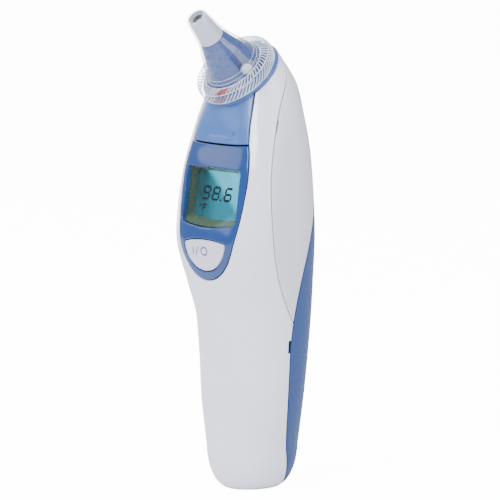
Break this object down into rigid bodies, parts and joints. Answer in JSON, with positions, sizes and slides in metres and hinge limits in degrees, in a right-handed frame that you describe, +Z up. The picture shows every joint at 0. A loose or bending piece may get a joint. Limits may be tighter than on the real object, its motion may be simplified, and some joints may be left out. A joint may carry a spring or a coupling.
{
  "type": "digital ear thermometer",
  "caption": "Handheld ear thermometer with a tilted probe and clear filter, sliding ejector, deep display window, power and start buttons and a hinged battery door.",
  "frame": {"origin": "centre of the flat foot, on the surface that the thermometer stands on", "axes": "+Z up along the handle, -Y towards the display side, +X to the right of someone facing +Y"},
  "size_m": [0.0406, 0.0439, 0.1516],
  "materials": {
    "gloss_white": "moulded ABS, polished",
    "satin_white": "moulded ABS, fine satin",
    "gloss_blue": "moulded ABS, polished",
    "satin_blue": "moulded ABS, fine satin",
    "milky_white": "unpainted polypropylene",
    "clear_film": "clear moulded polypropylene",
    "clear_window": "clear polished acrylic",
    "lcd": "liquid crystal cell, teal",
    "pale_green": "unpainted, tinted by the backlight",
    "dark_grey": "glass-filled nylon",
    "black": "moulded epoxy",
    "board": "solder mask",
    "steel": "nickel plated",
    "gold": "gold plated",
    "cell_wrap": "printed metal jacket"
  },
  "bodies": {
    "casing": {"front_housing": "gloss_white", "rear_housing": "satin_white", "rear_trim": "satin_blue", "display_bezel": "gloss_blue", "display_window": "clear_window", "chassis": "dark_grey", "front_screw_lower": "steel", "front_screw_left": "steel", "front_screw_right": "steel", "rear_screw_left": "steel", "rear_screw_right": "steel", "display_frame": "pale_green", "lcd_glass": "lcd", "light_guide": "milky_white", "main_board": "board", "microcontroller": "black", "amplifier_chip": "black", "crystal": "steel", "capacitor": "gold", "buzzer": "black", "power_switch": "dark_grey", "start_switch": "dark_grey", "sensor_cable": "gold", "probe_body": "satin_blue", "probe_tip": "milky_white", "waveguide": "gold", "sensor_can": "steel", "sensor_holder": "steel", "filter_switch": "dark_grey", "ejector_spring": "steel", "battery_left": "cell_wrap", "battery_right": "cell_wrap", "battery_spring_left": "steel", "battery_spring_right": "steel", "battery_contact_left": "steel", "battery_contact_right": "steel"},
    "power_button": {"power_button": "gloss_white"},
    "start_button": {"start_button": "gloss_blue"},
    "ejector": {"ejector": "satin_blue"},
    "lens_filter": {"lens_filter": "clear_film"},
    "filter_detector": {"filter_detector": "milky_white"},
    "battery_door": {"battery_door": "satin_blue"}
  },
  "joints": [
    {"name": "power_button_press", "type": "slide", "parent": "casing", "child": "power_button", "axis": [0, 1, 0], "range_m": [0, 0.0006], "stiffness_N_per_m": 400},
    {"name": "start_button_press", "type": "slide", "parent": "casing", "child": "start_button", "axis": [0, -1, 0], "range_m": [0, 0.0007], "stiffness_N_per_m": 400},
    {"name": "ejector_slide", "type": "slide", "parent": "casing", "child": "ejector", "axis": [0, -0.6884, 0.7254], "range_m": [0, 0.0035], "stiffness_N_per_m": 80},
    {"name": "lens_filter_slide", "type": "slide", "parent": "ejector", "child": "lens_filter", "axis": [0, -0.6884, 0.7254], "range_m": [0, 0.028]},
    {"name": "filter_detector_press", "type": "slide", "parent": "casing", "child": "filter_detector", "axis": [0, 0.6884, -0.7254], "range_m": [0, 0.001], "stiffness_N_per_m": 120},
    {"name": "battery_door_hinge", "type": "hinge", "parent": "casing", "child": "battery_door", "pos_m": [0, 0.0054, 0.0012], "axis": [-1, 0, 0], "range_deg": [0, 70]}
  ]
}
